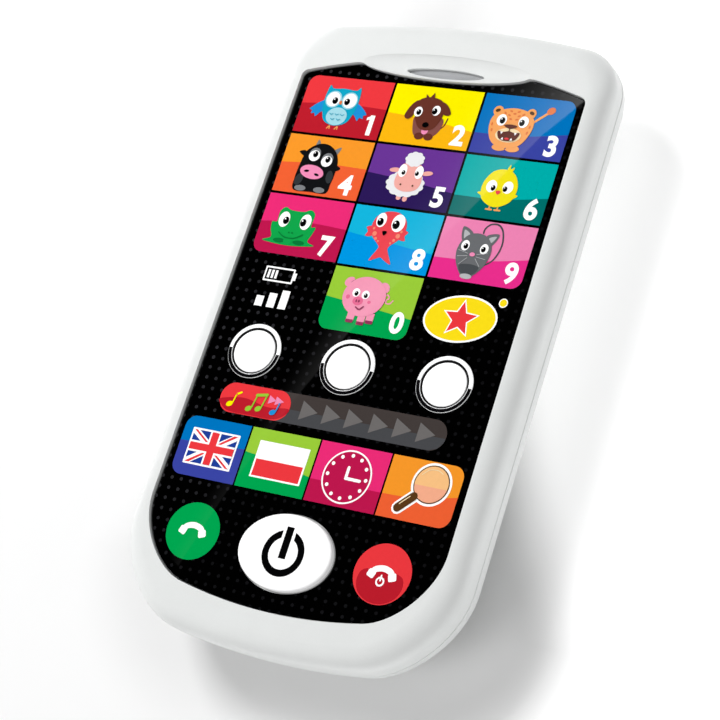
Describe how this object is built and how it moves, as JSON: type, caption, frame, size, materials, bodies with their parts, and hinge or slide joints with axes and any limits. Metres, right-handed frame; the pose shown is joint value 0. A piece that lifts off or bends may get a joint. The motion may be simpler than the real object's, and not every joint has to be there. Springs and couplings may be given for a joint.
{
  "type": "toy cell phone",
  "caption": "Toy cell phone: white rounded casing, glossy black face with printed keys, push button, light windows, and a back with battery door, speaker and slide switch.",
  "frame": {"origin": "on the flat back, at the middle of the length and the width", "axes": "+X to the phone's right, +Y towards its earpiece end, +Z out of its face"},
  "size_m": [0.077, 0.134, 0.0209],
  "materials": {
    "casing_white": "satin, very light grey-white, lightly textured",
    "panel_black": "high gloss black with printed artwork",
    "lens_white": "frosted translucent white",
    "ring_chrome": "bright chrome",
    "button_white": "satin white with a printed black power sign",
    "mesh_grey": "grey cloth",
    "film_amber": "thin printed film",
    "board_green": "solder mask",
    "part_black": "moulded",
    "part_cream": "moulded",
    "lamp_clear": "clear epoxy",
    "steel": "bright plated",
    "cone_paper": "dark paper",
    "cap_blue": "shrink sleeve",
    "wire_red": "flexible insulation",
    "wire_black": "flexible insulation",
    "cell_jacket": "printed sleeve",
    "knob_black": "ribbed"
  },
  "bodies": {
    "phone": {"front_casing": "casing_white", "rear_casing": "casing_white", "face_panel": "panel_black", "touch_sheet": "film_amber", "touch_tail": "film_amber", "earpiece_mesh": "mesh_grey", "light_lens_left": "lens_white", "light_ring_left": "ring_chrome", "led_left": "lamp_clear", "light_lens_middle": "lens_white", "light_ring_middle": "ring_chrome", "led_middle": "lamp_clear", "light_lens_right": "lens_white", "light_ring_right": "ring_chrome", "led_right": "lamp_clear", "tact_switch": "part_black", "sound_chip": "part_black", "resistor_1": "part_black", "resistor_2": "part_black", "resistor_3": "part_black", "main_board": "board_green", "board_capacitor": "cap_blue", "crystal": "steel", "speaker_frame": "steel", "speaker_magnet": "steel", "contact_spring_left": "steel", "contact_spring_right": "steel", "contact_plate_top": "steel", "contact_plate_left": "steel", "contact_plate_right": "steel", "casing_screw_1": "steel", "casing_screw_2": "steel", "casing_screw_3": "steel", "casing_screw_4": "steel", "slide_switch_can": "steel", "touch_connector": "part_cream", "speaker_cone": "cone_paper", "speaker_wire_red": "wire_red", "battery_wire_red": "wire_red", "speaker_wire_black": "wire_black", "battery_wire_black": "wire_black", "battery_left": "cell_jacket", "battery_right": "cell_jacket"},
    "button": {"power_button": "button_white", "tact_plunger": "part_black"},
    "door": {"battery_door": "casing_white", "battery_door_screw": "steel"},
    "switch": {"switch_knob": "knob_black", "slide_switch_lever": "part_black"}
  },
  "joints": [
    {"name": "power_button_press", "type": "slide", "parent": "phone", "child": "button", "axis": [0, 0, -1], "range_m": [0, 0.0012], "stiffness_N_per_m": 600, "springref_m": -0.0008},
    {"name": "battery_door_open", "type": "hinge", "parent": "phone", "child": "door", "pos_m": [0, 0.0484, 0.00105], "axis": [1, 0, 0], "range_deg": [0, 75]},
    {"name": "off_low_high_switch", "type": "slide", "parent": "phone", "child": "switch", "axis": [1, 0, 0], "range_m": [0, 0.0048]}
  ]
}
